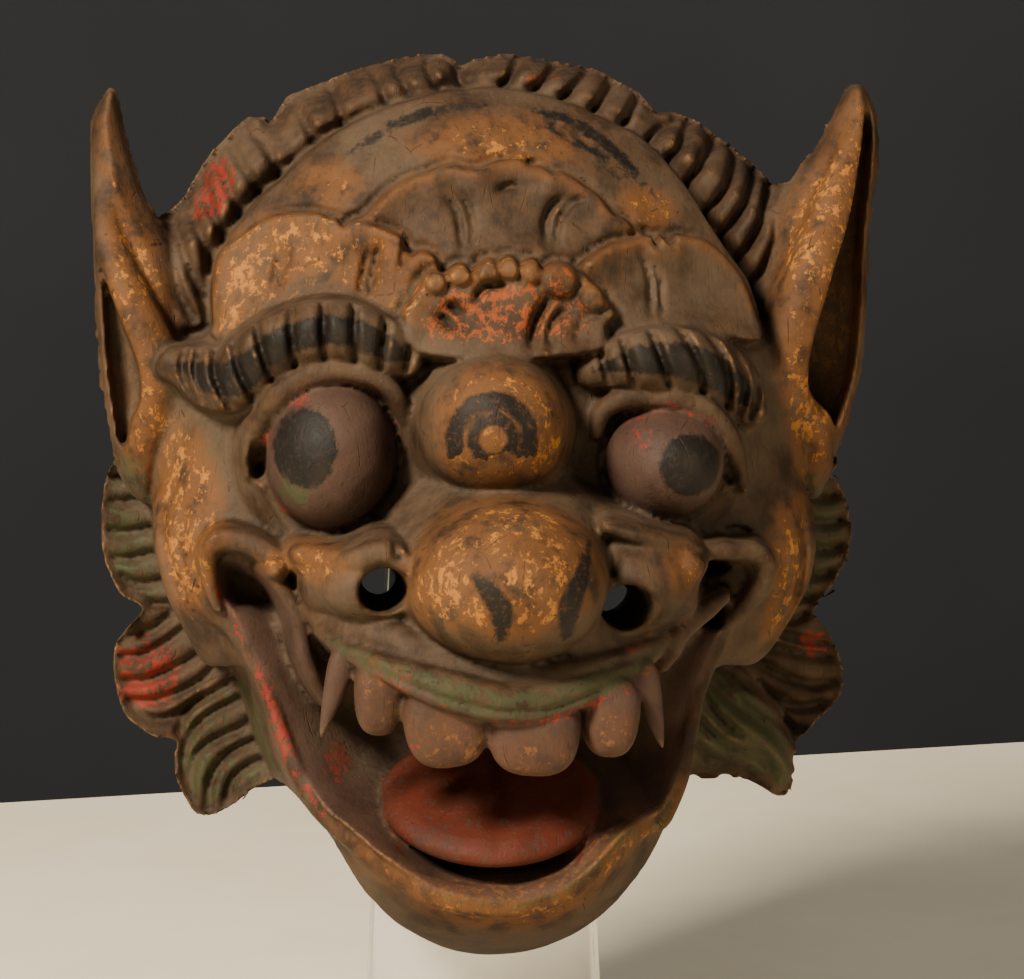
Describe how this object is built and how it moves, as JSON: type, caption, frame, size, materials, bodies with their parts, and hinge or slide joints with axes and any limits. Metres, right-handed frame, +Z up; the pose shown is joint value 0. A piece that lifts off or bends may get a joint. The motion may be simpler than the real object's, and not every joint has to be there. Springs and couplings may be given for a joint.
{
  "type": "carved wooden mask on a stand",
  "caption": "Carved wooden barong mask with bulging eyes, leaf crown, upright ears, open toothed mouth and tongue, its hollow back resting on a clear tapered post with a foot.",
  "frame": {"origin": "middle of the foot's underside", "axes": "+Z up, the face looks along -Y, +X to the right of someone who faces the mask"},
  "size_m": [0.2258, 0.1488, 0.3258],
  "materials": {
    "carved_wood": "old hand-carved wood under worn paint: dusty grey-brown, ochre, orange-red, red, green and black",
    "clear_acrylic": "clear acrylic, polished faces, lightly scuffed"
  },
  "bodies": {
    "root": {"mask": "carved_wood", "stand_post": "clear_acrylic", "stand_foot": "clear_acrylic"}
  },
  "joints": []
}
